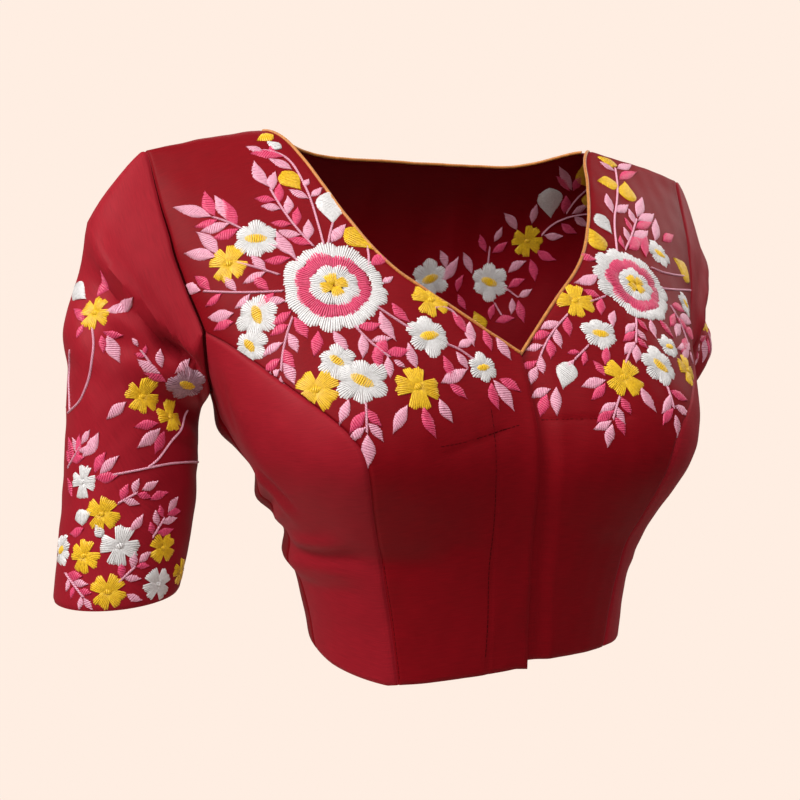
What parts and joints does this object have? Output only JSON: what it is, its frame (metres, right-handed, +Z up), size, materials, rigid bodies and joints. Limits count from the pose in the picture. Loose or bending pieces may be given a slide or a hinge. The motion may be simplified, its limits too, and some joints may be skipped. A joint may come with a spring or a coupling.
{
  "type": "choli blouse",
  "caption": "Short fitted choli blouse with princess-seamed overlapping fronts, a deep V neck edged with piping and elbow-length sleeves, filled out as worn.",
  "frame": {"origin": "midway between the two points where the shoulder seams meet the neckline, where the wearer's shoulders hold the blouse up", "axes": "+Z up along the wearer, -Y to the wearer's front, +X to the wearer's left"},
  "size_m": [0.5122, 0.2917, 0.3451],
  "materials": {
    "red_cloth": "fine woven deep red cloth with a soft sheen",
    "gold_piping": "mustard gold covered cord, soft sheen"
  },
  "bodies": {
    "root": {"front_right_centre": "red_cloth", "front_right_side": "red_cloth", "front_left_centre": "red_cloth", "front_left_side": "red_cloth", "back": "red_cloth", "sleeve_right": "red_cloth", "sleeve_left": "red_cloth", "piping_right": "gold_piping", "piping_left": "gold_piping", "piping_back": "gold_piping"}
  },
  "joints": []
}
